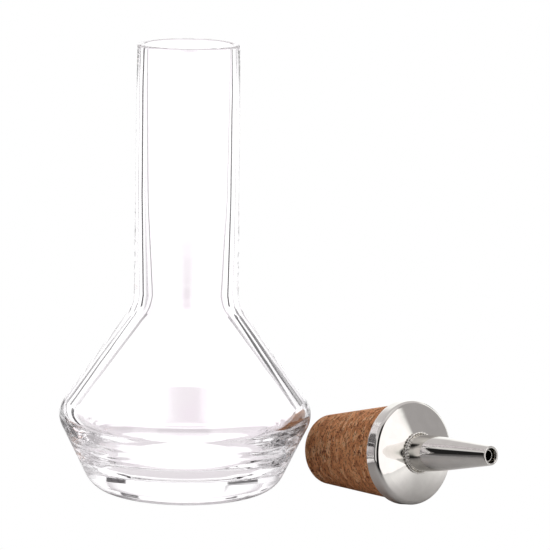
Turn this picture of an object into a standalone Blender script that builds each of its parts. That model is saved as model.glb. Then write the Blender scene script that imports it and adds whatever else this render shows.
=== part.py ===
# A small glass bottle for bitters, with its corked metal drip stopper lying beside it.
# Metres, +Z up. The origin is the centre of the bottle's flat foot.

import bpy
import bmesh
from math import asin, atan2, ceil, cos, hypot, pi, radians, sin, sqrt, tan
from mathutils import Matrix, Vector

# Bottle, outside. Radii and heights are those of the sharp corners before rounding.
BOTTLE_HEIGHT = 0.1215
FOOT_RADIUS = 0.0249
HEEL_FILLET = 0.0076
BELLY_RADIUS = 0.0352
BELLY_HEIGHT = 0.0213
BELLY_FILLET = 0.0065
NECK_ROOT_RADIUS = 0.01425
NECK_ROOT_HEIGHT = 0.0506
NECK_ROOT_FILLET = 0.009
MOUTH_RADIUS = 0.0138
LIP_FILLET = 0.0006

# Bottle, inside: a heavy floor, a thick body, and a neck wall that thins towards the mouth.
FLOOR_THICKNESS = 0.0082
BOWL_FLOOR_RADIUS = 0.0225
BOWL_FILLET = 0.011
BODY_WALL = 0.0034
BELLY_INNER_FILLET = 0.003
NECK_ROOT_WALL = 0.0038
NECK_ROOT_INNER_FILLET = 0.012
MOUTH_WALL = 0.002
BORE_KNEE_RADIUS = 0.0115
BORE_KNEE_HEIGHT = 0.078
BORE_KNEE_FILLET = 0.2

# Clearance between pieces that fit into or rest on each other.
FIT_GAP = 0.0003

# Cork: a taper that widens to the cap, with its top inside the cap.
CORK_END_RADIUS = 0.0094
CORK_END_FILLET = 0.0015
CORK_RADIUS = 0.01305
CORK_FREE_LENGTH = 0.0303

# Cap: a pressed shell. Its face is a shallow cone inside a rolled edge.
CAP_WALL = 0.0006
SKIRT_HEIGHT = 0.0039
CAP_EDGE_FILLET = 0.0009
BROW_RADIUS = 0.0112
BROW_RISE = 0.0006
BROW_FILLET = 0.004
CONE_RISE = 0.0012

# Spout: a hollow taper that starts almost straight at its base.
SPOUT_BASE_RADIUS = 0.0049
SPOUT_SHANK_RADIUS = 0.0048
SPOUT_SHANK_LENGTH = 0.0065
SPOUT_SHANK_FILLET = 0.09
SPOUT_TIP_RADIUS = 0.00257
SPOUT_LENGTH = 0.0273
SPOUT_WALL = 0.00062
SPOUT_TIP_FILLET = 0.00025

# Flow tube: one thin tube from below the cork to just inside the spout's tip.
TUBE_WALL = 0.0003
TUBE_TIP_RECESS = 0.0013
TUBE_PROTRUSION = 0.0012

# Solder seam round the foot of the spout.
SEAM_RADIUS = 0.00022

# Where the stopper lies: it points towards +X and -Y, with its cork end beside the bottle.
LYING_AZIMUTH = radians(-48.1)
CORK_END_AZIMUTH = radians(10.1)
STOPPER_CLEARANCE = 0.0021

# Fineness of the turned shapes.
ARC_STEP = radians(13)
BOTTLE_SIDES = 64
CORK_SIDES = 56
CAP_SIDES = 60
SPOUT_SIDES = 40
TUBE_SIDES = 28
SEAM_SIDES = 40
BEAD_SIDES = 8
FILLET_LIMIT_SHARE = 0.48
MERGE_SHARE = 0.01
SHARP_ANGLE = radians(35)


# Outlines

def rounded(corners, closed):
    """Points of an outline given as (radius, height, fillet) corners, each rounded by its own fillet."""
    points = []
    count = len(corners)
    for index, (radius, height, fillet) in enumerate(corners):
        corner = Vector((radius, height))
        if fillet == 0 or (not closed and index in (0, count - 1)):
            points.append(corner)
            continue
        before = Vector(corners[index - 1][:2]) - corner
        after = Vector(corners[(index + 1) % count][:2]) - corner
        half = before.angle(after) / 2
        reach = min(fillet / tan(half), FILLET_LIMIT_SHARE * min(before.length, after.length))
        arc_radius = reach * tan(half)
        centre = corner + (before.normalized() + after.normalized()).normalized() * (arc_radius / sin(half))
        first = corner + before.normalized() * reach - centre
        turn = first.angle_signed(corner + after.normalized() * reach - centre)
        steps = max(1, ceil(abs(turn) / ARC_STEP))
        for step in range(steps + 1):
            points.append(centre + Matrix.Rotation(-turn * step / steps, 2) @ first)
    return points


def material(name, colour, roughness, metallic=0.0, transmission=0.0, ior=1.5):
    made = bpy.data.materials.new(name)
    made.use_nodes = True
    shader = made.node_tree.nodes["Principled BSDF"]
    shader.inputs["Base Color"].default_value = (*colour, 1.0)
    shader.inputs["Roughness"].default_value = roughness
    shader.inputs["Metallic"].default_value = metallic
    shader.inputs["Transmission Weight"].default_value = transmission
    shader.inputs["IOR"].default_value = ior
    made.diffuse_color = (*colour, 1.0)
    return made


def turned(name, corners, sides, finish, closed=True):
    """A solid of revolution about Z. An open outline starts and ends on the axis."""
    outline = rounded(corners, closed)
    shape = bmesh.new()
    rim = [shape.verts.new((point.x, 0, point.y)) for point in outline]
    edges = [shape.edges.new(pair) for pair in zip(rim, rim[1:])]
    if closed:
        edges.append(shape.edges.new((rim[-1], rim[0])))
    bmesh.ops.spin(shape, geom=rim + edges, cent=(0, 0, 0), axis=(0, 0, 1), angle=2 * pi,
                   steps=sides, use_merge=True)
    if not closed:
        shortest = min((after - before).length for before, after in zip(outline, outline[1:]))
        bmesh.ops.remove_doubles(shape, verts=shape.verts, dist=shortest * MERGE_SHARE)
    bmesh.ops.recalc_face_normals(shape, faces=shape.faces)
    mesh = bpy.data.meshes.new(name)
    shape.to_mesh(mesh)
    shape.free()
    mesh.shade_smooth()
    mesh.set_sharp_from_angle(angle=SHARP_ANGLE)
    mesh.materials.append(finish)
    piece = bpy.data.objects.new(name, mesh)
    bpy.context.scene.collection.objects.link(piece)
    return piece


# Bottle

def bottle_outside():
    return [
        (0, 0, 0),
        (FOOT_RADIUS, 0, HEEL_FILLET),
        (BELLY_RADIUS, BELLY_HEIGHT, BELLY_FILLET),
        (NECK_ROOT_RADIUS, NECK_ROOT_HEIGHT, NECK_ROOT_FILLET),
        (MOUTH_RADIUS, BOTTLE_HEIGHT, LIP_FILLET),
    ]


def bottle_inside():
    """The cavity from the mouth down. Its shoulder runs parallel to the outer one, a wall inside it."""
    slope = (BELLY_RADIUS - NECK_ROOT_RADIUS) / (NECK_ROOT_HEIGHT - BELLY_HEIGHT)
    belly_inner_radius = BELLY_RADIUS - BODY_WALL * hypot(1, slope)
    root_bore_radius = NECK_ROOT_RADIUS - NECK_ROOT_WALL
    root_bore_height = BELLY_HEIGHT + (belly_inner_radius - root_bore_radius) / slope
    return [
        (MOUTH_RADIUS - MOUTH_WALL, BOTTLE_HEIGHT, LIP_FILLET),
        (BORE_KNEE_RADIUS, BORE_KNEE_HEIGHT, BORE_KNEE_FILLET),
        (root_bore_radius, root_bore_height, NECK_ROOT_INNER_FILLET),
        (belly_inner_radius, BELLY_HEIGHT, BELLY_INNER_FILLET),
        (BOWL_FLOOR_RADIUS, FLOOR_THICKNESS, BOWL_FILLET),
        (0, FLOOR_THICKNESS, 0),
    ]


def make_bottle():
    glass = material("clear_glass", (0.93, 0.93, 0.95), 0.02, transmission=1.0, ior=1.52)
    turned("bottle", bottle_outside() + bottle_inside(), BOTTLE_SIDES, glass, closed=False)


# Stopper. Its frame has +Z along the spout and its origin in the plane of the cap's rim.

CAP_RADIUS = CORK_RADIUS + FIT_GAP + CAP_WALL
TIP_BORE_RADIUS = SPOUT_TIP_RADIUS - SPOUT_WALL
TUBE_RADIUS = TIP_BORE_RADIUS - FIT_GAP
TUBE_HOLE_RADIUS = TUBE_RADIUS + FIT_GAP
BROW_HEIGHT = SKIRT_HEIGHT + BROW_RISE
SPOUT_HEIGHT = BROW_HEIGHT + CONE_RISE
TIP_HEIGHT = SPOUT_HEIGHT + SPOUT_LENGTH


def cone_height(radius):
    """Height of the cap's conical face at a radius inside its brow."""
    return BROW_HEIGHT + CONE_RISE * (BROW_RADIUS - radius) / (BROW_RADIUS - SPOUT_BASE_RADIUS)


def make_cork():
    """A tapered plug with a bore for the flow tube; the top of it fills the cap's skirt."""
    agglomerate = material("agglomerated_cork", (0.30, 0.14, 0.065), 0.85)
    top = SKIRT_HEIGHT - CAP_WALL - FIT_GAP
    return turned("cork", [
        (TUBE_HOLE_RADIUS, -CORK_FREE_LENGTH, 0),
        (CORK_END_RADIUS, -CORK_FREE_LENGTH, CORK_END_FILLET),
        (CORK_RADIUS, 0, 0),
        (CORK_RADIUS, top, 0),
        (TUBE_HOLE_RADIUS, top, 0),
    ], CORK_SIDES, agglomerate)


def make_cap(steel):
    """A pressed shell: skirt, rolled edge, brow and cone, all one wall thick."""
    return turned("cap", [
        (CAP_RADIUS, 0, 0),
        (CAP_RADIUS, SKIRT_HEIGHT, CAP_EDGE_FILLET),
        (BROW_RADIUS, BROW_HEIGHT, BROW_FILLET),
        (TUBE_HOLE_RADIUS, cone_height(TUBE_HOLE_RADIUS), 0),
        (TUBE_HOLE_RADIUS, cone_height(TUBE_HOLE_RADIUS) - CAP_WALL, 0),
        (BROW_RADIUS, BROW_HEIGHT - CAP_WALL, BROW_FILLET),
        (CAP_RADIUS - CAP_WALL, SKIRT_HEIGHT - CAP_WALL, CAP_EDGE_FILLET - CAP_WALL),
        (CAP_RADIUS - CAP_WALL, 0, 0),
    ], CAP_SIDES, steel)


def make_spout(steel):
    """A hollow taper that stands on the cone and closes in round the flow tube at its tip."""
    base_bore_radius = SPOUT_BASE_RADIUS - SPOUT_WALL
    shank_height = SPOUT_HEIGHT + SPOUT_SHANK_LENGTH
    return turned("spout", [
        (SPOUT_BASE_RADIUS, cone_height(SPOUT_BASE_RADIUS) + FIT_GAP, 0),
        (SPOUT_SHANK_RADIUS, shank_height, SPOUT_SHANK_FILLET),
        (SPOUT_TIP_RADIUS, TIP_HEIGHT, SPOUT_TIP_FILLET),
        (TIP_BORE_RADIUS, TIP_HEIGHT, SPOUT_TIP_FILLET),
        (SPOUT_SHANK_RADIUS - SPOUT_WALL, shank_height, SPOUT_SHANK_FILLET),
        (base_bore_radius, cone_height(base_bore_radius) + FIT_GAP, 0),
    ], SPOUT_SIDES, steel)


def make_flow_tube(steel):
    """The thin inner tube whose end shows inside the spout's tip."""
    low = -CORK_FREE_LENGTH - TUBE_PROTRUSION
    high = TIP_HEIGHT - TUBE_TIP_RECESS
    return turned("flow_tube", [
        (TUBE_RADIUS, low, 0),
        (TUBE_RADIUS, high, 0),
        (TUBE_RADIUS - TUBE_WALL, high, 0),
        (TUBE_RADIUS - TUBE_WALL, low, 0),
    ], TUBE_SIDES, steel)


def make_solder_seam(solder):
    """The thin bead that joins the spout's foot to the cone."""
    ring_radius = SPOUT_BASE_RADIUS + FIT_GAP + SEAM_RADIUS
    ring_height = cone_height(ring_radius) + FIT_GAP + SEAM_RADIUS
    bead = []
    for step in range(BEAD_SIDES):
        angle = 2 * pi * step / BEAD_SIDES
        bead.append((ring_radius + SEAM_RADIUS * cos(angle), ring_height + SEAM_RADIUS * sin(angle), 0))
    return turned("solder_seam", bead, SEAM_SIDES, solder)


# Where the stopper lies

def cork_edge():
    """Radius and depth of the circle that the rounding at the cork's thin end is drawn about."""
    taper = (CORK_RADIUS - CORK_END_RADIUS) / CORK_FREE_LENGTH
    radius = CORK_END_RADIUS + CORK_END_FILLET * (taper - hypot(1, taper))
    return radius, CORK_FREE_LENGTH - CORK_END_FILLET


def lying_pitch():
    """Slope of the stopper's axis when its cap rim and the rounded edge of its cork touch the surface."""
    edge_radius, edge_depth = cork_edge()
    drop = CAP_RADIUS - edge_radius
    return atan2(drop, edge_depth) - asin(CORK_END_FILLET / hypot(drop, edge_depth))


def bottle_radius_at(height):
    """Outer radius of the unrounded body at a height up to the neck's root."""
    corners = bottle_outside()[1:]
    for (low_radius, low, _), (high_radius, high, _) in zip(corners, corners[1:]):
        if height <= high:
            return low_radius + (high_radius - low_radius) * (height - low) / (high - low)
    return MOUTH_RADIUS


def lying_matrix():
    """The stopper's place: resting on the surface, as near to the bottle as its clearance allows."""
    pitch = lying_pitch()
    axis = Vector((cos(pitch) * cos(LYING_AZIMUTH), cos(pitch) * sin(LYING_AZIMUTH), sin(pitch)))
    side = Vector((-sin(LYING_AZIMUTH), cos(LYING_AZIMUTH), 0))
    up = axis.cross(side)
    away = Vector((cos(CORK_END_AZIMUTH), sin(CORK_END_AZIMUTH), 0))
    rim_height = CAP_RADIUS * cos(pitch)
    _, edge_depth = cork_edge()
    end = Vector((0, 0, rim_height)) - axis * edge_depth
    end_shift = 0
    for step in range(CORK_SIDES):
        angle = 2 * pi * step / CORK_SIDES
        point = Vector((0, 0, end.z)) + (side * cos(angle) + up * sin(angle)) * CORK_END_RADIUS
        reach = bottle_radius_at(point.z) + STOPPER_CLEARANCE
        inward = point.xy.dot(away.xy)
        across_squared = reach ** 2 - (point.xy.length_squared - inward ** 2)
        if across_squared > 0:
            end_shift = max(end_shift, sqrt(across_squared) - inward)
    origin = Vector((0, 0, rim_height)) - Vector((end.x, end.y, 0)) + away * end_shift
    turn = Matrix((side, up, axis)).transposed()
    return Matrix.Translation(origin) @ turn.to_4x4()


def make_stopper():
    """Every piece of the stopper hangs on one empty, which the lifting joint moves."""
    steel = material("polished_steel", (0.72, 0.71, 0.70), 0.08, metallic=1.0)
    solder = material("silver_solder", (0.62, 0.61, 0.59), 0.3, metallic=1.0)
    carrier = bpy.data.objects.new("stopper_lift", None)
    bpy.context.scene.collection.objects.link(carrier)
    carrier.empty_display_size = CAP_RADIUS
    carrier.matrix_world = lying_matrix()
    pieces = [make_cork(), make_cap(steel), make_spout(steel), make_flow_tube(steel), make_solder_seam(solder)]
    for piece in pieces:
        piece.parent = carrier


for old in list(bpy.data.objects):
    bpy.data.objects.remove(old, do_unlink=True)
make_bottle()
make_stopper()
bpy.context.view_layer.update()
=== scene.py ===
# %% [markdown]
# # A bitters bottle and its drip stopper
#
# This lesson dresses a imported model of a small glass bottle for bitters. A stopper lies beside it: a
# tapered cork under a pressed metal cap, with a thin hollow spout. Every piece is a turned shape, so almost
# all the modelling is one move, a half outline spun about an axis. The looks come from glass, cork and
# polished metal, and from what surrounds them, because clear glass and bright metal show little but their
# surroundings.

from math import asin, atan2, ceil, cos, degrees, hypot, pi, radians, sin, tan

import bmesh
import bpy
from mathutils import Matrix, Vector, noise


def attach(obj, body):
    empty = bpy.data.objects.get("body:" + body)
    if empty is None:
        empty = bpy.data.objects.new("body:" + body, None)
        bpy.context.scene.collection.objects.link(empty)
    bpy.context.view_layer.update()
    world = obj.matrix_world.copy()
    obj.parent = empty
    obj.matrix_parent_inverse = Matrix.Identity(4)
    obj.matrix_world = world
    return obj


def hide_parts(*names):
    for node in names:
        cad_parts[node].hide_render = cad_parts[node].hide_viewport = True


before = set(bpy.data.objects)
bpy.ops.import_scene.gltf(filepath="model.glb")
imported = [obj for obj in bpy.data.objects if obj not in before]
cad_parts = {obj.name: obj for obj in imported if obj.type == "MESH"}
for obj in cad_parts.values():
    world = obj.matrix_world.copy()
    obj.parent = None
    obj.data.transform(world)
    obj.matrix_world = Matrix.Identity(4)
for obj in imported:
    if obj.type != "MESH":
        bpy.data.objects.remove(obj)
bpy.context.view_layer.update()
MM = 0.001

# %% [markdown]
# ## Colours and nodes
#
# The colours are written as hex values, as they are read off a screen. A shader works in linear light, so
# one function turns a hex value into linear red, green and blue. A second one adds any node to a material,
# with its settings, its sockets and the links into them, so that a material reads as a list of what it is
# made of.

# %% Colour and node helpers
def linear(hex_colour):
    """Linear red, green, blue and alpha of an sRGB hex colour."""
    channels = [int(hex_colour[start:start + 2], 16) / 255 for start in (1, 3, 5)]
    return (*[c / 12.92 if c <= 0.04045 else ((c + 0.055) / 1.055) ** 2.4 for c in channels], 1.0)


def add(tree, kind, sockets=None, stops=None, **settings):
    """Adds a node. Sockets take a value or another node's output; stops fill a colour ramp."""
    node = tree.nodes.new(kind)
    for name, value in settings.items():
        setattr(node, name, value)
    for name, value in (sockets or {}).items():
        if isinstance(value, bpy.types.NodeSocket):
            tree.links.new(value, node.inputs[name])
        else:
            node.inputs[name].default_value = value
    for place, (position, colour) in enumerate(stops or []):
        spots = node.color_ramp.elements
        painted_light_spot = spots[place] if place < 2 else spots.new(position)
        painted_light_spot.position = position
        painted_light_spot.color = colour if isinstance(colour, tuple) else (colour, colour, colour, 1.0)
    return node


def start_material(name, **values):
    """A material with one Principled shader. Its own sockets hold what is the same all over the surface."""
    made = bpy.data.materials.new(name)
    made.use_nodes = True
    shader = made.node_tree.nodes["Principled BSDF"]
    for socket, value in values.items():
        shader.inputs[socket.replace("_", " ")].default_value = value
    return made, made.node_tree, shader


def join(tree, output, shader, socket):
    """Links a node's output to a socket of the material's shader."""
    tree.links.new(output, shader.inputs[socket])


print("middle grey on a screen is", round(linear("#808080")[0], 3), "in linear light")

# %% [markdown]
# ## Turning a shape
#
# A glassworks turns its mould, a press tool is turned on a lathe, and a cork is ground round: all of them
# start from half an outline. Here an outline is a short list of corners, each with a radius, a height and a
# rounding. The rounding is drawn as a true arc, because a bevel of a bare line gives flattened ellipses at
# blunt corners, and clear glass shows each flat spot. The outline becomes a few vertices and edges, and
# `bmesh.ops.spin` sweeps them round.

# %% Outlines and turning
FINE_ARC, COARSE_ARC, SMALL_FILLET = radians(4), radians(12), 1.0
MOST_OF_EDGE = 0.48
MERGE_MM = 0.0005
SHARP_ANGLE = radians(40)


def rounded(corners, closed, arc_step=FINE_ARC):
    """Points of an outline of (radius, height, fillet) corners in mm, each rounded by its own fillet."""
    points = []
    count = len(corners)
    for index, (radius, height, fillet) in enumerate(corners):
        corner = Vector((radius, height))
        if fillet == 0 or (not closed and index in (0, count - 1)):
            points.append(corner)
            continue
        before = Vector(corners[index - 1][:2]) - corner
        after = Vector(corners[(index + 1) % count][:2]) - corner
        half = before.angle(after) / 2
        reach = min(fillet / tan(half), MOST_OF_EDGE * min(before.length, after.length))
        arc_radius = reach * tan(half)
        middle = (before.normalized() + after.normalized()).normalized()
        centre = corner + middle * (arc_radius / sin(half))
        first = corner + before.normalized() * reach - centre
        turn = first.angle_signed(corner + after.normalized() * reach - centre)
        steps = max(1, ceil(abs(turn) / (arc_step if fillet > SMALL_FILLET else COARSE_ARC)))
        for step in range(steps + 1):
            points.append(centre + Matrix.Rotation(-turn * step / steps, 2) @ first)
    return points


def evenly(points, spacing, closed):
    """The same outline with its long runs cut up, so that a pattern or a ripple has points to move."""
    ends = points[1:] + (points[:1] if closed else [])
    cut = []
    for start, end in zip(points, ends):
        pieces = max(1, round((end - start).length / spacing))
        cut += [start.lerp(end, step / pieces) for step in range(pieces)]
    return cut if closed else cut + [points[-1]]


def spin_outline(outline, sides, closed):
    """A bmesh of an outline in mm, swept once round Z, in metres."""
    shape = bmesh.new()
    rim = [shape.verts.new((point.x * MM, 0, point.y * MM)) for point in outline]
    edges = [shape.edges.new(pair) for pair in zip(rim, rim[1:])]
    if closed:
        edges.append(shape.edges.new((rim[-1], rim[0])))
    bmesh.ops.spin(shape, geom=rim + edges, cent=(0, 0, 0), axis=(0, 0, 1), angle=2 * pi,
                   steps=sides, use_merge=True)
    bmesh.ops.remove_doubles(shape, verts=shape.verts, dist=MERGE_MM * MM)
    bmesh.ops.recalc_face_normals(shape, faces=shape.faces)
    return shape


def finish_piece(shape, name, material, node, body, place=None):
    """Makes the object, puts its place in its mesh, and hands it to the body that carries it."""
    mesh = bpy.data.meshes.new(name)
    shape.to_mesh(mesh)
    shape.free()
    if place is not None:
        mesh.transform(place)
    mesh.shade_smooth()
    mesh.set_sharp_from_angle(angle=SHARP_ANGLE)
    mesh.materials.append(material)
    piece = bpy.data.objects.new(name, mesh)
    bpy.context.scene.collection.objects.link(piece)
    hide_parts(node)
    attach(piece, body)
    print(name, "has", len(mesh.polygons), "faces")


print("a quarter turn is drawn in", ceil(radians(90) / FINE_ARC), "steps, or in",
      ceil(radians(90) / COARSE_ARC), "where the fillet is small")

# %% [markdown]
# ## The glass
#
# The bottle is clear soda-lime or lead-free crystal glass, blown into a mould and fire-polished. Its index
# is about 1.52. It could be a shell with a Solidify modifier, but the wall is not even: it is 2 mm at the
# lip, almost 4 mm at the root of the neck and 8 mm in the floor, and that uneven wall is what bends the
# light into dark lines along the edges. So the outline runs up the outside and down the inside, and one
# spin makes both walls as one closed skin.
#
# Blown glass is never quite even. The outer wall took the mould's shape, while the inner wall was shaped by
# air, and it ripples most where the glass is thick. The ripples are moved into the inner wall, not painted
# on, because it is the bent light behind them that the eye sees.
#
# The outline is cut in two slices: long pieces for the even walls, and pieces of less than half a
# millimetre for the bowl, where the ripples need points to move.

# %% The bottle's outline
BOTTLE_HEIGHT = 121.5
FOOT_RADIUS, HEEL_FILLET = 24.9, 7.6
BELLY_RADIUS, BELLY_HEIGHT, BELLY_FILLET = 35.2, 21.3, 6.5
NECK_ROOT_RADIUS, NECK_ROOT_HEIGHT, NECK_ROOT_FILLET = 14.25, 50.6, 9.0
MOUTH_RADIUS, MOUTH_WALL, LIP_FILLET = 13.8, 2.0, 0.6
FLOOR_THICKNESS, BOWL_FLOOR_RADIUS, BOWL_FILLET = 8.2, 22.5, 11.0
BODY_WALL, BELLY_INNER_FILLET = 3.4, 3.0
NECK_ROOT_WALL, NECK_ROOT_INNER_FILLET = 3.8, 12.0
BORE_KNEE_RADIUS, BORE_KNEE_HEIGHT, BORE_KNEE_FILLET = 11.5, 78.0, 200.0
WALL_SPACING, BOWL_TOP, BOWL_SPACING, BOTTLE_SIDES = 12.0, 20.0, 0.45, 448

shoulder_slope = (BELLY_RADIUS - NECK_ROOT_RADIUS) / (NECK_ROOT_HEIGHT - BELLY_HEIGHT)
belly_inner_radius = BELLY_RADIUS - BODY_WALL * hypot(1, shoulder_slope)
root_bore_radius = NECK_ROOT_RADIUS - NECK_ROOT_WALL
root_bore_height = BELLY_HEIGHT + (belly_inner_radius - root_bore_radius) / shoulder_slope

bottle_outside = [
    (0, 0, 0),
    (FOOT_RADIUS, 0, HEEL_FILLET),
    (BELLY_RADIUS, BELLY_HEIGHT, BELLY_FILLET),
    (NECK_ROOT_RADIUS, NECK_ROOT_HEIGHT, NECK_ROOT_FILLET),
    (MOUTH_RADIUS, BOTTLE_HEIGHT, LIP_FILLET),
]
bottle_inside = [
    (MOUTH_RADIUS - MOUTH_WALL, BOTTLE_HEIGHT, LIP_FILLET),
    (BORE_KNEE_RADIUS, BORE_KNEE_HEIGHT, BORE_KNEE_FILLET),
    (root_bore_radius, root_bore_height, NECK_ROOT_INNER_FILLET),
    (belly_inner_radius, BELLY_HEIGHT, BELLY_INNER_FILLET),
    (BOWL_FLOOR_RADIUS, FLOOR_THICKNESS, BOWL_FILLET),
    (0, FLOOR_THICKNESS, 0),
]
bottle_skin = rounded(bottle_outside + bottle_inside, closed=False)
lip = max(range(len(bottle_skin)), key=lambda place: bottle_skin[place].y)
bowl_start = next(place for place in range(lip, len(bottle_skin)) if bottle_skin[place].y < BOWL_TOP)
bottle_outline = (evenly(bottle_skin[:bowl_start + 1], WALL_SPACING, closed=False)[:-1]
                  + evenly(bottle_skin[bowl_start:], BOWL_SPACING, closed=False))
print("bottle outline:", len(bottle_outline), "points, about",
      len(bottle_outline) * BOTTLE_SIDES * 2, "triangles when it is turned")

# %% [markdown]
# The glass shader is a Principled shader with full transmission. The finish is fire-polished, so its
# roughness is close to zero, and a very soft, wide bump stands for the faint waviness that a mould leaves.
# A trace of violet is added, as glass has whose green was cleared with manganese, and it shows only where
# the glass is thick.

# %% The glass
GLASS_IOR = 1.52
GLASS_CLEAR, GLASS_TINT = "#FFFEFF", "#FFFCFF"
SKIN_WAVE_MM = 9.0
SKIN_DEPTH_MM = 0.02
DULLEST_POLISH = 0.01


def fire_polished_glass():
    """Clear glass, with a faint wave in its skin and a trace of violet."""
    made, tree, shader = start_material("fire_polished_soda_glass", Transmission_Weight=1.0, IOR=GLASS_IOR)
    place = add(tree, "ShaderNodeTexCoord").outputs["Object"]
    waves = add(tree, "ShaderNodeTexNoise", {
        "Vector": place, "Scale": 1 / (SKIN_WAVE_MM * MM), "Detail": 1.0}).outputs["Fac"]
    skin = add(tree, "ShaderNodeBump", {"Height": waves, "Distance": SKIN_DEPTH_MM * MM, "Strength": 1.0})
    join(tree, skin.outputs["Normal"], shader, "Normal")
    tint = add(tree, "ShaderNodeValToRGB", {"Fac": waves},
               stops=[(0.3, linear(GLASS_CLEAR)), (0.7, linear(GLASS_TINT))])
    join(tree, tint.outputs["Color"], shader, "Base Color")
    polish = add(tree, "ShaderNodeMapRange", {"Value": waves, "To Min": 0.0, "To Max": DULLEST_POLISH})
    join(tree, polish.outputs["Result"], shader, "Roughness")
    return made


glass = fire_polished_glass()
print(glass.name, "has an index of", GLASS_IOR)

# %% [markdown]
# Now the ripples. The photograph's ripples are strongest at the left and right, as if the mould's two seams
# were there, and the thick floor in the middle is calm. Each point of the bowl's inner wall is moved along
# its own normal by a noise stretched into long flat rings. A Displace modifier could do the same, but here
# the strength follows the radius, the height and the way to the seams, and that is easier to read as a few
# lines of code.

# %% Ripples and the finished bottle
RING_WAVE_MM, RING_SPREAD, RING_DEPTH_MM = 2.2, 2.0, 0.18
CALM_RADIUS_MM, CALM_EDGE_MM = 15.5, 4.0
CALM_SHARE, SEAM_SHARE = 0.35, 0.85
FLOOR_MARGIN_MM, WALL_MARGIN_MM = 1.0, 2.0
STEP_LOSS, STEP_RATIO, STEPS = 1.0, 2.0, 2


def ripple(shape):
    """Moves the bowl's inner wall along its normals in long rings, most near the seams at both sides."""
    shape.normal_update()
    for vertex in shape.verts:
        radius, height = hypot(vertex.co.x, vertex.co.y) / MM, vertex.co.z / MM
        outer = FOOT_RADIUS + (BELLY_RADIUS - FOOT_RADIUS) * height / BELLY_HEIGHT
        inside = (height > FLOOR_THICKNESS - FLOOR_MARGIN_MM
                  and radius < min(outer - WALL_MARGIN_MM, belly_inner_radius + FLOOR_MARGIN_MM))
        if inside and radius > CALM_RADIUS_MM and height < BOWL_TOP:
            fade = min(1, (BOWL_TOP - height) / CALM_EDGE_MM, (radius - CALM_RADIUS_MM) / CALM_EDGE_MM)
            sideways = abs(vertex.co.x) / MM / radius
            fade *= min(1, max(0, sideways - CALM_SHARE) / (SEAM_SHARE - CALM_SHARE))
            place = Vector((*vertex.co.xy.normalized() * RING_SPREAD, (radius + height) / RING_WAVE_MM))
            wave = noise.fractal(place, STEP_LOSS, STEP_RATIO, STEPS)
            vertex.co += vertex.normal * wave * fade * RING_DEPTH_MM * MM


bottle_shape = spin_outline(bottle_outline, BOTTLE_SIDES, closed=False)
ripple(bottle_shape)
finish_piece(bottle_shape, "blown_bottle", glass, "bottle", "bottle")

# %% [markdown]
# ## Where the stopper lies
#
# The stopper's pieces are easiest to draw upright, with the spout pointing up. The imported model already
# says where the stopper lies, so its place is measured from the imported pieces: the middle of a turned piece
# is on its axis, so the line from the cork's middle to the spout's middle is the stopper's axis, and the
# lowest point of the cap along that line is the plane of its rim.

# %% The stopper's place
def axis_point(node):
    """The middle of a turned piece's corners, which lies on its axis."""
    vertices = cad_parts[node].data.vertices
    corners = {tuple(round(value / MM, 3) for value in vertex.co) for vertex in vertices}
    return sum((Vector(corner) for corner in corners), Vector()) * MM / len(corners)


def stopper_place():
    """Matrix from the upright stopper to where it lies. The origin is the middle of the cap's rim."""
    start = axis_point("cork")
    axis = (axis_point("spout") - start).normalized()
    rim_plane = min((vertex.co - start).dot(axis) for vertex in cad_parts["cap"].data.vertices)
    side = Vector((-axis.y, axis.x, 0)).normalized()
    turn = Matrix((side, axis.cross(side), axis)).transposed()
    return Matrix.Translation(start + axis * rim_plane) @ turn.to_4x4()


stopper = stopper_place()
print("stopper's rim is at", [round(value / MM, 2) for value in stopper.translation],
      "and its axis rises", round(degrees(asin(stopper.col[2][2])), 2), "degrees")

# %% [markdown]
# A pattern on a lying piece has to lie with it. Object coordinates are the room's, because each finished
# object sits at the origin, so a Mapping node of the Texture type turns them back into the stopper's own
# upright frame.

# %% Coordinates on the stopper
def stopper_coordinates(tree, stretch=(1, 1, 1)):
    """Places in the upright stopper's own frame, each divided by the stretch along its axis."""
    room = add(tree, "ShaderNodeTexCoord").outputs["Object"]
    return add(tree, "ShaderNodeMapping", {
        "Vector": room, "Location": stopper.translation, "Rotation": stopper.to_euler(), "Scale": stretch,
    }, vector_type="TEXTURE").outputs["Vector"]


print("the stopper is turned by", [round(degrees(angle), 1) for angle in stopper.to_euler()], "degrees")

# %% [markdown]
# ## The cork
#
# A stopper like this is agglomerated cork: granules of bark, about a millimetre or two across, pressed
# together with a food-safe binder, then ground to a taper. Each granule has its own brown, the bark's dark
# pores show as short curved flecks, and the grinding opens small pits. A flat brown with a little noise
# would read as rubber.
#
# The taper is a spun outline. The pits and the granules' slight relief are moved into the mesh, so that the
# cork's edge is rough too, and the colours come from Voronoi cells, one for each granule, squeezed along
# the axis.

# %% The cork's shape
CORK_END_RADIUS, CORK_END_FILLET = 9.4, 1.5
CORK_RADIUS, CORK_FREE_LENGTH = 13.05, 30.3
FIT_GAP, CAP_WALL, SKIRT_HEIGHT = 0.3, 0.6, 3.9
SPOUT_TIP_RADIUS, SPOUT_WALL = 2.57, 0.62
TUBE_RADIUS = SPOUT_TIP_RADIUS - SPOUT_WALL - FIT_GAP
TUBE_HOLE_RADIUS = TUBE_RADIUS + FIT_GAP
CORK_TOP = SKIRT_HEIGHT - CAP_WALL - FIT_GAP

PIT_WAVE_MM, PIT_DEPTH_MM, PIT_SHARE, PIT_SQUEEZE = 0.9, 0.22, 0.3, 2
GRAIN_WAVE_MM, GRAIN_DEPTH_MM = 0.5, 0.03
ROUGH_TOP_MM, HOLE_MARGIN_MM = -0.2, 0.5
CORK_SIDES, CORK_SPACING, CORK_ARC = 256, 0.35, radians(10)


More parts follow.
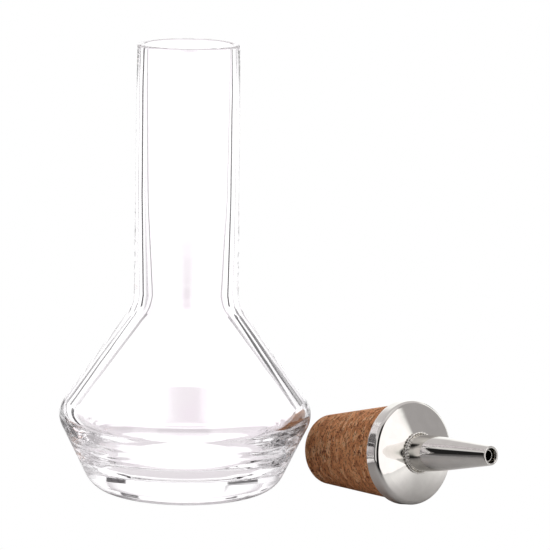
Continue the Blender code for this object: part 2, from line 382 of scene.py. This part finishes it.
def cork_pit(place_mm):
    """How deep a pit is at a place on the cork, from 0 to 1."""
    squeezed = Vector((place_mm.x, place_mm.y, place_mm.z * PIT_SQUEEZE)) / PIT_WAVE_MM
    return max(0, noise.noise(squeezed) - PIT_SHARE) / (1 - PIT_SHARE)


def roughen_cork(shape):
    """Sinks pits and grain into the cork below the cap, but not into the hole for the tube."""
    shape.normal_update()
    for vertex in shape.verts:
        place_mm = vertex.co / MM
        radius = hypot(place_mm.x, place_mm.y)
        if place_mm.z < ROUGH_TOP_MM and radius > TUBE_HOLE_RADIUS + HOLE_MARGIN_MM:
            depth = cork_pit(place_mm) * PIT_DEPTH_MM
            depth += (0.5 + 0.5 * noise.noise(place_mm / GRAIN_WAVE_MM)) * GRAIN_DEPTH_MM
            vertex.co -= vertex.normal * depth * MM


cork_outline = evenly(rounded([
    (TUBE_HOLE_RADIUS, -CORK_FREE_LENGTH, 0),
    (CORK_END_RADIUS, -CORK_FREE_LENGTH, CORK_END_FILLET),
    (CORK_RADIUS, 0, 0),
    (CORK_RADIUS, CORK_TOP, 0),
    (TUBE_HOLE_RADIUS, CORK_TOP, 0),
], closed=True, arc_step=CORK_ARC), CORK_SPACING, closed=True)
cork_shape = spin_outline(cork_outline, CORK_SIDES, closed=True)
roughen_cork(cork_shape)
print("cork outline:", len(cork_outline), "points")

# %% [markdown]
# The colours come in layers, as on the real stopper: granules of four browns, a fine mottle of fibres, dark
# strands that wind among the granules and break off, and the darkest brown in the pits. Cork's own cells
# are about 0.04 mm wide, too fine to show, so the mottle is drawn at 0.25 mm. An image of cork could be
# wrapped round it, but a seam would show, and the ends would need one of their own. The strands are contour
# lines of a noise that is bent as the granules are: a Ping-Pong node folds the noise, and a narrow range of
# the fold is kept as a thin curved line.

# %% The cork's colours
GRANULE_MM, STRAND_MM, BREAK_MM, PORE_MM, FIBRE_MM = 2.2, 1.7, 0.9, 0.6, 0.25
SQUEEZE = (1, 1, 0.42)
CORK_DARK, CORK_MID, CORK_WARM, CORK_PALE = "#BC7C50", "#E29A68", "#F2AE7A", "#FFD6AA"
STRAND_BROWN, PIT_BROWN = "#5E3018", "#2A160A"
FIBRE_SHARE, CORK_RELIEF_MM = 0.6, 0.08
FOLD, STRAND_CORE, STRAND_EDGE = 0.14, 0.025, 0.055
BREAK_START, BREAK_END = 0.44, 0.56
PIT_START, PIT_END = 0.64, 0.7


def agglomerated_cork():
    """Granules of four browns, with a mottle of fibres, dark strands and pits."""
    made, tree, shader = start_material("agglomerated_ground_cork", Roughness=0.9, IOR=1.3)
    place = stopper_coordinates(tree, SQUEEZE)
    bend = add(tree, "ShaderNodeTexNoise", {"Vector": place, "Scale": 1 / (GRANULE_MM * MM), "Detail": 2.0})
    bent = add(tree, "ShaderNodeVectorMath", {
        0: bend.outputs["Color"], 1: (GRANULE_MM * MM,) * 3, 2: place},
        operation="MULTIPLY_ADD").outputs["Vector"]
    granule = add(tree, "ShaderNodeTexVoronoi", {"Vector": bent, "Scale": 1 / (GRANULE_MM * MM)})
    tone = add(tree, "ShaderNodeSeparateColor", {"Color": granule.outputs["Color"]}).outputs["Red"]
    fibre = add(tree, "ShaderNodeTexNoise", {
        "Vector": place, "Scale": 1 / (FIBRE_MM * MM), "Detail": 2.0}).outputs["Fac"]
    mottle = add(tree, "ShaderNodeMix", {0: FIBRE_SHARE, 2: tone, 3: fibre}).outputs[0]
    body = add(tree, "ShaderNodeValToRGB", {"Fac": mottle},
               stops=[(0.25, linear(CORK_DARK)), (0.8, linear(CORK_PALE)), (0.45, linear(CORK_MID)),
                      (0.6, linear(CORK_WARM))])
    strand = add(tree, "ShaderNodeTexNoise", {
        "Vector": bent, "Scale": 1 / (STRAND_MM * MM), "Detail": 2.5, "Roughness": 0.55}).outputs["Fac"]
    contour = add(tree, "ShaderNodeMath", {0: strand, 1: FOLD}, operation="PINGPONG").outputs["Value"]
    line = add(tree, "ShaderNodeMapRange", {
        "Value": contour, "From Min": STRAND_EDGE, "From Max": STRAND_CORE}).outputs["Result"]
    broken = add(tree, "ShaderNodeTexNoise", {
        "Vector": place, "Scale": 1 / (BREAK_MM * MM), "Detail": 2.0}).outputs["Fac"]
    gaps = add(tree, "ShaderNodeMapRange", {
        "Value": broken, "From Min": BREAK_START, "From Max": BREAK_END}).outputs["Result"]
    strokes = add(tree, "ShaderNodeMath", {0: line, 1: gaps}, operation="MULTIPLY").outputs["Value"]
    with_strands = add(tree, "ShaderNodeMix", {
        0: strokes, 6: body.outputs["Color"], 7: linear(STRAND_BROWN)}, data_type="RGBA").outputs[2]
    pore = add(tree, "ShaderNodeTexNoise", {
        "Vector": place, "Scale": 1 / (PORE_MM * MM), "Detail": 1.0}).outputs["Fac"]
    pits = add(tree, "ShaderNodeMapRange", {
        "Value": pore, "From Min": PIT_START, "From Max": PIT_END}).outputs["Result"]
    coloured = add(tree, "ShaderNodeMix", {
        0: pits, 6: with_strands, 7: linear(PIT_BROWN)}, data_type="RGBA").outputs[2]
    join(tree, coloured, shader, "Base Color")
    hollow = add(tree, "ShaderNodeMath", {0: strokes, 1: pits}, operation="MAXIMUM").outputs["Value"]
    relief = add(tree, "ShaderNodeMath", {0: fibre, 1: hollow}, operation="SUBTRACT").outputs["Value"]
    grain = add(tree, "ShaderNodeBump", {"Height": relief, "Distance": CORK_RELIEF_MM * MM, "Strength": 0.6})
    join(tree, grain.outputs["Normal"], shader, "Normal")
    return made


finish_piece(cork_shape, "ground_cork", agglomerated_cork(), "cork", "stopper", stopper)

# %% [markdown]
# ## The metal
#
# The cap is pressed from thin sheet, and the spout is drawn or turned. Both are stainless steel, polished
# bright. Polished metal has no colour of its own beyond a slight warmth: it is made of reflections, so its
# shape must be smooth, and its edges need true roundings to catch the light lines that the eye reads as an
# edge. A trace of roughness, uneven as a polishing wheel leaves it, keeps the reflections from being those
# of a mirror. The wheel's own lines are some hundredths of a millimetre apart, too fine to show, so they
# are drawn at 0.15 mm.

# %% The polished steel
STEEL = "#DEDCD7"
STEEL_WORN = "#D9D7D2"
POLISH_WAVE_MM = 3.0
WHEEL_LINE_MM, WHEEL_DEPTH_MM, WHEEL_SQUEEZE = 0.15, 0.002, (0.02, 0.02, 1.0)


def polished_steel(name, roughness, spread):
    """Steel whose roughness wanders about a middle value, with faint lines from the polishing wheel."""
    made, tree, shader = start_material(name, Metallic=1.0)
    place = stopper_coordinates(tree)
    cloud = add(tree, "ShaderNodeTexNoise", {
        "Vector": place, "Scale": 1 / (POLISH_WAVE_MM * MM), "Detail": 3.0}).outputs["Fac"]
    wander = add(tree, "ShaderNodeMapRange", {
        "Value": cloud, "To Min": roughness - spread, "To Max": roughness + spread})
    join(tree, wander.outputs["Result"], shader, "Roughness")
    tone = add(tree, "ShaderNodeValToRGB", {"Fac": cloud},
               stops=[(0.35, linear(STEEL_WORN)), (0.6, linear(STEEL))])
    join(tree, tone.outputs["Color"], shader, "Base Color")
    along = add(tree, "ShaderNodeVectorMath", {0: place, 1: WHEEL_SQUEEZE},
                operation="MULTIPLY").outputs["Vector"]
    lines = add(tree, "ShaderNodeTexNoise", {
        "Vector": along, "Scale": 1 / (WHEEL_LINE_MM * MM)}).outputs["Fac"]
    wheel = add(tree, "ShaderNodeBump", {
        "Height": lines, "Distance": WHEEL_DEPTH_MM * MM, "Strength": 0.5})
    join(tree, wheel.outputs["Normal"], shader, "Normal")
    return made


cap_steel = polished_steel("pressed_polished_steel", roughness=0.04, spread=0.01)
spout_steel = polished_steel("turned_polished_steel", roughness=0.035, spread=0.01)
print("steels:", cap_steel.name, "and", spout_steel.name)

# %% [markdown]
# The cap is a shallow pressed shell with a short skirt, a rolled edge and a face that rises in a low cone.
# It could be a disc with a bevel, but the roll has to be the press tool's own radius, because the thin
# black line round the face is the dark room reflected in that roll. The outline runs out along the top and
# back underneath.

# %% The cap
BROW_RADIUS, BROW_RISE, BROW_FILLET, CAP_EDGE_FILLET = 11.2, 0.6, 4.0, 1.35
CONE_RISE, SPOUT_BASE_RADIUS = 1.2, 4.9
CAP_RADIUS = CORK_RADIUS + FIT_GAP + CAP_WALL
BROW_HEIGHT = SKIRT_HEIGHT + BROW_RISE
HEM_FILLET = 0.15
CAP_SIDES, CAP_SPACING = 256, 0.5


def cone_height(radius):
    """Height of the cap's face at a radius, up the low cone."""
    return BROW_HEIGHT + CONE_RISE * (BROW_RADIUS - radius) / (BROW_RADIUS - SPOUT_BASE_RADIUS)


cap_outline = evenly(rounded([
    (CAP_RADIUS, 0, HEM_FILLET),
    (CAP_RADIUS, SKIRT_HEIGHT, CAP_EDGE_FILLET),
    (BROW_RADIUS, BROW_HEIGHT, BROW_FILLET),
    (TUBE_HOLE_RADIUS, cone_height(TUBE_HOLE_RADIUS), 0),
    (TUBE_HOLE_RADIUS, cone_height(TUBE_HOLE_RADIUS) - CAP_WALL, 0),
    (BROW_RADIUS, BROW_HEIGHT - CAP_WALL, BROW_FILLET),
    (CAP_RADIUS - CAP_WALL, SKIRT_HEIGHT - CAP_WALL, CAP_EDGE_FILLET - CAP_WALL),
    (CAP_RADIUS - CAP_WALL, 0, HEM_FILLET),
], closed=True), CAP_SPACING, closed=True)
cap_shape = spin_outline(cap_outline, CAP_SIDES, closed=True)
finish_piece(cap_shape, "pressed_cap", cap_steel, "cap", "stopper", stopper)

# %% [markdown]
# ## Spout, tube and seam
#
# The spout is a hollow taper, almost straight at its foot, where it flares a little to meet the cap. A cone
# could be stretched to it, but the taper bends, so its outline has two waists with very wide roundings. A
# thin tube runs through the cork and up inside it, and its end shows as a second ring a little way down the
# tip: that narrow ring is what makes the bottle give drops.

# %% The spout
SPOUT_SHANK_RADIUS, SPOUT_SHANK_LENGTH = 4.85, 4.0
SPOUT_WAIST_RADIUS, SPOUT_WAIST_LENGTH, SPOUT_CURVE = 4.45, 10.0, 250.0
SPOUT_LENGTH, SPOUT_TIP_FILLET = 27.3, 0.25
SPOUT_FLARE, SPOUT_FLARE_FILLET = 0.28, 1.6
SPOUT_HEIGHT = BROW_HEIGHT + CONE_RISE
TIP_HEIGHT = SPOUT_HEIGHT + SPOUT_LENGTH
SPOUT_SIDES, SPOUT_SPACING, SPOUT_ARC = 160, 0.6, radians(0.5)

shank_height, waist_height = SPOUT_HEIGHT + SPOUT_SHANK_LENGTH, SPOUT_HEIGHT + SPOUT_WAIST_LENGTH
base_bore_radius = SPOUT_BASE_RADIUS - SPOUT_WALL
spout_foot = cone_height(SPOUT_BASE_RADIUS) + FIT_GAP
spout_outline = evenly(rounded([
    (SPOUT_BASE_RADIUS + SPOUT_FLARE, spout_foot, 0),
    (SPOUT_BASE_RADIUS, spout_foot + 2 * SPOUT_FLARE, SPOUT_FLARE_FILLET),
    (SPOUT_SHANK_RADIUS, shank_height, SPOUT_CURVE),
    (SPOUT_WAIST_RADIUS, waist_height, SPOUT_CURVE),
    (SPOUT_TIP_RADIUS, TIP_HEIGHT, SPOUT_TIP_FILLET),
    (SPOUT_TIP_RADIUS - SPOUT_WALL, TIP_HEIGHT, SPOUT_TIP_FILLET),
    (SPOUT_WAIST_RADIUS - SPOUT_WALL, waist_height, SPOUT_CURVE),
    (SPOUT_SHANK_RADIUS - SPOUT_WALL, shank_height, SPOUT_CURVE),
    (base_bore_radius, cone_height(base_bore_radius) + FIT_GAP, 0),
], closed=True, arc_step=SPOUT_ARC), SPOUT_SPACING, closed=True)
spout_shape = spin_outline(spout_outline, SPOUT_SIDES, closed=True)
finish_piece(spout_shape, "tapered_spout", spout_steel, "spout", "stopper", stopper)

# %% [markdown]
# The drip tube is plain thin pipe, cut square at both ends. It could be a cylinder with a Solidify
# modifier, but its end is seen inside the spout's tip, so its edges are rounded like the others.

# %% The drip tube
TUBE_WALL, TUBE_TIP_RECESS, TUBE_PROTRUSION, TUBE_FILLET = 0.3, 1.3, 1.2, 0.08
TUBE_SPACING, TUBE_ARC = 2.0, radians(20)

tube_low, tube_high = -CORK_FREE_LENGTH - TUBE_PROTRUSION, TIP_HEIGHT - TUBE_TIP_RECESS
tube_outline = evenly(rounded([
    (TUBE_RADIUS, tube_low, TUBE_FILLET),
    (TUBE_RADIUS, tube_high, TUBE_FILLET),
    (TUBE_RADIUS - TUBE_WALL, tube_high, TUBE_FILLET),
    (TUBE_RADIUS - TUBE_WALL, tube_low, TUBE_FILLET),
], closed=True, arc_step=TUBE_ARC), TUBE_SPACING, closed=True)
tube_shape = spin_outline(tube_outline, SPOUT_SIDES, closed=True)
finish_piece(tube_shape, "drip_tube", spout_steel, "flow_tube", "stopper", stopper)

# %% [markdown]
# The seam is a thin line of solder round the spout's foot. Solder draws itself into small beads as it
# cools, so the ring is a turned bead whose corners are then moved in and out by a wave with some noise in
# it. A torus would do for the ring, but its beads would have to be moved in the same way. Solder cools to a
# satin skin, so its roughness is higher than the steel's and the seam shows as a soft grey line between two
# bright pieces.

# %% The solder seam
SEAM_RADIUS, SEAM_SIDES, BEAD_SIDES = 0.22, 432, 12
SEAM_BEADS, BEAD_SWELL, BEAD_WANDER, WANDER_SCALE, WANDER_SHIFT = 34, 0.3, 0.2, 7, 3

seam_radius = SPOUT_BASE_RADIUS + FIT_GAP + SEAM_RADIUS
seam_height = cone_height(seam_radius) + FIT_GAP + SEAM_RADIUS
bead_angles = [2 * pi * step / BEAD_SIDES for step in range(BEAD_SIDES)]
bead_outline = [Vector((seam_radius + SEAM_RADIUS * cos(angle), seam_height + SEAM_RADIUS * sin(angle)))
                for angle in bead_angles]
seam_shape = spin_outline(bead_outline, SEAM_SIDES, closed=True)


def draw_into_beads(shape):
    """Swells and thins the solder round its ring."""
    for vertex in shape.verts:
        angle = atan2(vertex.co.y, vertex.co.x)
        core = Vector((seam_radius * cos(angle), seam_radius * sin(angle), seam_height)) * MM
        wander = noise.noise(Vector((cos(angle), sin(angle), 0)) * WANDER_SCALE)
        swell = sin(SEAM_BEADS * angle + WANDER_SHIFT * wander)
        vertex.co = core + (vertex.co - core) * (1 + BEAD_SWELL * swell + BEAD_WANDER * wander)


draw_into_beads(seam_shape)
solder = polished_steel("silver_solder", roughness=0.22, spread=0.08)
finish_piece(seam_shape, "solder_bead", solder, "solder_seam", "stopper", stopper)

# %% [markdown]
# ## The room
#
# The photograph is a cut-out on pure white, so the camera sees a white floor and a white room. What the
# glass and the metal see is another matter: with white all round, clear glass would vanish. A studio has a
# bright backdrop behind the bottle, soft boxes on both sides of the camera, and narrow dark cards at the
# backdrop's edges, and those cards are the thin dark lines along the glass. The wall on the left is grey
# for the cap's face, and the room behind the camera is dark for the edges of the metal. Thick glass greys
# towards lavender, so the cards are tinted a little that way.
#
# Lamps and cards could be built as objects. Here the room itself is drawn as a pattern of directions, which
# gives the same soft light with less noise, and a Light Path node keeps it out of the picture. The same
# node tells light that comes through the glass from light off the metal. The wall on the left is there for
# the metal, so light through the glass sees only a share of it, and the bottle stays clearer when it is
# looked at from the right.

# %% The room
# Each card: azimuth and half width, lowest and highest elevation, soft edge, all in degrees, and its light.
# The azimuth is 0 behind the bottle and grows towards the stopper's side.
ROOM_LIGHT = 1.25
ROOM_CARDS = {
    "upper wall": (0, 180, 30, 90, 5, 0.72),
    "table under the glass": (0, 180, -90, -28, 2, 0.8),
    "grey patch of the backdrop": (-1.3, 1.0, -21, -12.5, 0.8, 1.04),
    "left bar, inner": (-23, 1.2, -30, 3, 1.0, 0.2),
    "left bar, outer": (-44, 3.5, -30, 3, 1.2, 0.06),
    "left card, high": (-31, 1.6, 5, 10.5, 0.8, 0.1),
    "right card, high": (22.5, 5, -1, 7.5, 0.8, 0.13),
    "left card, low": (-20.5, 2.0, -5, 1, 0.8, 0.25),
    "left card, top": (-28, 9, 13, 21, 0.8, 0.06),
    "right card, top": (31, 7, 10.5, 20, 1.0, 0.04),
    "right bar, inner": (23, 1.6, -30, 1, 1.4, 0.5),
    "right bar, outer": (48, 3.0, -30, 3, 1.2, 0.06),
    "grey wall on the left": (-90, 34, -90, 26, 6.0, 0.33),
    "dark floor on the left": (-103, 14, -27, 2, 3.0, 0.13),
    "black card on the left": (-90, 17, 1, 26, 2.0, 0.02),
    "dark gap on the left": (-124, 7, -90, 30, 3.0, 0.08),
    "soft box on the left": (-144, 9, -60, 40, 2.0, 1.0),
    "grey card on the right": (84, 16, -60, 60, 2.0, 0.47),
    "soft box on the right": (127, 24, -25, 50, 2.0, 1.5),
    "dark behind the camera": (180, 26, -60, 60, 3.0, 0.02),
}
WALL_CARDS = ("grey wall on the left", "dark floor on the left")
WALL_SHARE_THROUGH_GLASS = 0.6
CARD_TINT = (1.0, 0.963, 0.98)
CAMERA_WHITE = (1.0, 1.0, 1.0, 1.0)


def within(tree, value, middle, half, soft):
    """1 where a value is within a half width of a middle, 0 beyond it, with a soft edge."""
    offset = add(tree, "ShaderNodeMath", {0: value, 1: middle}, operation="SUBTRACT").outputs["Value"]
    distance = add(tree, "ShaderNodeMath", {0: offset}, operation="ABSOLUTE").outputs["Value"]
    return add(tree, "ShaderNodeMapRange", {
        "Value": distance, "From Min": half + soft, "From Max": max(half - soft, 0)},
        interpolation_type="SMOOTHSTEP").outputs["Result"]


def hang_card(tree, colour, level, height, card, share):
    """Lays one card over what the room already shows, as strongly as its share."""
    azimuth, half_width, low, high, soft, light = card
    facing = (sin(radians(azimuth)), cos(radians(azimuth)), 0)
    across = add(tree, "ShaderNodeVectorMath", {0: level, 1: facing}, operation="DOT_PRODUCT")
    away = add(tree, "ShaderNodeMath", {0: across.outputs["Value"]}, operation="ARCCOSINE").outputs["Value"]
    beside = within(tree, away, 0, radians(half_width), radians(soft))
    bottom, top = sin(radians(low)), sin(radians(high))
    upright = within(tree, height, (bottom + top) / 2, (top - bottom) / 2, sin(radians(soft)))
    mask = add(tree, "ShaderNodeMath", {0: beside, 1: upright}, operation="MULTIPLY").outputs["Value"]
    mask = add(tree, "ShaderNodeMath", {0: mask, 1: share}, operation="MULTIPLY").outputs["Value"]
    grey = (*[light * tint for tint in CARD_TINT], 1.0)
    return add(tree, "ShaderNodeMix", {0: mask, 6: colour, 7: grey}, data_type="RGBA").outputs[2]


def studio_room():
    """A world that shows each card where it hangs, and plain white to the camera."""
    world = bpy.data.worlds.new("studio_room")
    world.use_nodes = True
    tree = world.node_tree
    tree.nodes.clear()
    way = add(tree, "ShaderNodeTexCoord").outputs["Generated"]
    height = add(tree, "ShaderNodeSeparateXYZ", {"Vector": way}).outputs["Z"]
    flat = add(tree, "ShaderNodeVectorMath", {0: way, 1: (1, 1, 0)}, operation="MULTIPLY").outputs["Vector"]
    level = add(tree, "ShaderNodeVectorMath", {0: flat}, operation="NORMALIZE").outputs["Vector"]
    rays = add(tree, "ShaderNodeLightPath").outputs
    wall_share = add(tree, "ShaderNodeMapRange", {
        "Value": rays["Is Transmission Ray"], "To Min": 1.0,
        "To Max": WALL_SHARE_THROUGH_GLASS}).outputs["Result"]
    colour = (ROOM_LIGHT, ROOM_LIGHT, ROOM_LIGHT, 1.0)
    for name, card in ROOM_CARDS.items():
        share = wall_share if name in WALL_CARDS else 1.0
        colour = hang_card(tree, colour, level, height, card, share)
    light = add(tree, "ShaderNodeMix", {
        0: rays["Is Camera Ray"], 6: colour, 7: CAMERA_WHITE}, data_type="RGBA").outputs[2]
    shine = add(tree, "ShaderNodeBackground", {"Color": light})
    add(tree, "ShaderNodeOutputWorld", {"Surface": shine.outputs["Background"]})
    return world


bpy.context.scene.world = studio_room()
print("cards in the room:", ", ".join(ROOM_CARDS))

# %% [markdown]
# Light that enters the thick floor is thrown from wall to wall inside the glass before it leaves. Each of
# those inner reflections counts as a glossy bounce, and the usual limit of four turns them black. So the
# limits are raised.

# %% Deep light paths
MOST_BOUNCES, MOST_IN_GLASS = 40, 32

light_paths = bpy.context.scene.cycles
light_paths.max_bounces = MOST_BOUNCES
light_paths.glossy_bounces = MOST_IN_GLASS
light_paths.transmission_bounces = MOST_IN_GLASS
print("light may bounce", light_paths.max_bounces, "times")

# %% [markdown]
# ## The table
#
# The table is a pale, slightly glossy disc. The camera sees it as plain white, and the metal sees it with
# painted light and shade: a painted glow on the side of the soft box, and painted shade that goes to black
# in front, towards the camera. A plain white plane would do for the metal, but thick glass over it loses
# its greys. So light that has passed through the glass finds the table open and sees the room below it,
# but for a painted spot of light right under the foot. That spot is the clear oval in the middle of the
# bottle's floor.

# %% The floor
FLOOR_RADIUS_MM, FLOOR_SIDES = 130, 96
FLOOR_CENTRE_MM, FLOOR_DROP_MM = (45, 10), 0.05
# The black is painted shade in front of the table; the glow and the spot under the foot are painted light.
TABLE_GREY, PAINTED_SHADE_BLACK = "#D8D8D8", "#000000"
TABLE_ROUGHNESS, TABLE_SHEEN = 0.3, 0.1
PAINTED_GLOW_START_MM, PAINTED_GLOW_END_MM, PAINTED_GLOW = 66, 125, 0.6
PAINTED_SHADE_START_MM, PAINTED_SHADE_END_MM = -34, -75
PAINTED_SPOT_RADIUS_MM, PAINTED_SPOT_EDGE_MM, PAINTED_SPOT_LIGHT = 12.5, 0.8, 1.4


def table_top():
    """White to the camera, painted glow and shade to the metal, open to the glass but for a painted light
    spot.
    """
    made, tree, board = start_material("pale_glossy_table_top", Roughness=TABLE_ROUGHNESS,
                                       Specular_IOR_Level=TABLE_SHEEN, Emission_Color=CAMERA_WHITE)
    place = add(tree, "ShaderNodeTexCoord").outputs["Object"]
    across, forwards, _ = add(tree, "ShaderNodeSeparateXYZ", {"Vector": place}).outputs
    # Painted light: the table glows more towards the soft box's side, as if lit by it.
    painted_glow = add(tree, "ShaderNodeMapRange", {
        "Value": across, "From Min": PAINTED_GLOW_START_MM * MM, "From Max": PAINTED_GLOW_END_MM * MM, "To Max": PAINTED_GLOW},
        interpolation_type="SMOOTHSTEP")
    join(tree, painted_glow.outputs["Result"], board, "Emission Strength")
    # Painted shade: the table's colour darkens from grey to black towards the camera.
    painted_front_shade = add(tree, "ShaderNodeMapRange", {
        "Value": forwards, "From Min": PAINTED_SHADE_START_MM * MM, "From Max": PAINTED_SHADE_END_MM * MM},
        interpolation_type="SMOOTHSTEP")
    shaded = add(tree, "ShaderNodeMix", {
        0: painted_front_shade.outputs["Result"], 6: linear(TABLE_GREY), 7: linear(PAINTED_SHADE_BLACK)}, data_type="RGBA")
    join(tree, shaded.outputs[2], board, "Base Color")
    rays = add(tree, "ShaderNodeLightPath").outputs
    white = add(tree, "ShaderNodeEmission", {"Color": CAMERA_WHITE})
    # Painted light: a glowing spot under the foot, which only light through the glass sees.
    from_foot = add(tree, "ShaderNodeVectorMath", {0: place}, operation="LENGTH").outputs["Value"]
    painted_spot_mask = within(tree, from_foot, 0, PAINTED_SPOT_RADIUS_MM * MM, PAINTED_SPOT_EDGE_MM * MM)
    painted_light_spot = add(tree, "ShaderNodeEmission", {"Color": CAMERA_WHITE, "Strength": PAINTED_SPOT_LIGHT})
    open_below = add(tree, "ShaderNodeBsdfTransparent")
    clear = add(tree, "ShaderNodeMixShader", {
        0: painted_spot_mask, 1: open_below.outputs["BSDF"], 2: painted_light_spot.outputs["Emission"]})
    lit = add(tree, "ShaderNodeMixShader", {
        0: rays["Is Camera Ray"], 1: board.outputs["BSDF"], 2: white.outputs["Emission"]})
    lit_from_below = add(tree, "ShaderNodeMixShader", {
        0: rays["Is Transmission Ray"], 1: lit.outputs["Shader"], 2: clear.outputs["Shader"]})
    tree.links.new(lit_from_below.outputs["Shader"], tree.nodes["Material Output"].inputs["Surface"])
    return made


floor_shape = bmesh.new()
bmesh.ops.create_circle(floor_shape, cap_ends=True, segments=FLOOR_SIDES, radius=FLOOR_RADIUS_MM * MM,
                        matrix=Matrix.Translation(Vector((*FLOOR_CENTRE_MM, -FLOOR_DROP_MM)) * MM))
floor_mesh = bpy.data.meshes.new("floor")
floor_shape.to_mesh(floor_mesh)
floor_shape.free()
floor_mesh.materials.append(table_top())
floor = bpy.data.objects.new("floor", floor_mesh)
bpy.context.scene.collection.objects.link(floor)
print("the table is", 2 * FLOOR_RADIUS_MM, "mm across")

# %% [markdown]
# ## Camera
#
# The photograph was taken from nearly a metre away with a long lens, ten degrees above the table, and the
# camera was turned by less than a degree, so the bottle leans a little to the right in the frame.

# %% The camera
CAMERA_DISTANCE_MM, CAMERA_RISE, CAMERA_TURN = 950, radians(10), radians(0.83)
TARGET_MM = (23.9, 0, 59.1)
SENSOR_MM, MM_PER_PIXEL, FRAME_PIXELS = 36, 0.27, 550
NEAR_LIMIT, FAR_LIMIT = 0.01, 10

camera_data = bpy.data.cameras.new("camera")
camera_data.sensor_width = SENSOR_MM
camera_data.lens = CAMERA_DISTANCE_MM / MM_PER_PIXEL / FRAME_PIXELS * SENSOR_MM
camera_data.clip_start, camera_data.clip_end = NEAR_LIMIT, FAR_LIMIT
camera = bpy.data.objects.new("camera", camera_data)
bpy.context.scene.collection.objects.link(camera)
back = Vector((0, -cos(CAMERA_RISE), sin(CAMERA_RISE)))
target = Vector(TARGET_MM) * MM
aim = (-back).to_track_quat("-Z", "Y").to_matrix().to_4x4()
camera.matrix_world = (Matrix.Translation(target + back * CAMERA_DISTANCE_MM * MM) @ aim
                       @ Matrix.Rotation(CAMERA_TURN, 4, "Z"))
bpy.context.scene.camera = camera
bpy.context.scene.view_settings.view_transform = "Standard"
print("lens", round(camera_data.lens, 1), "mm")
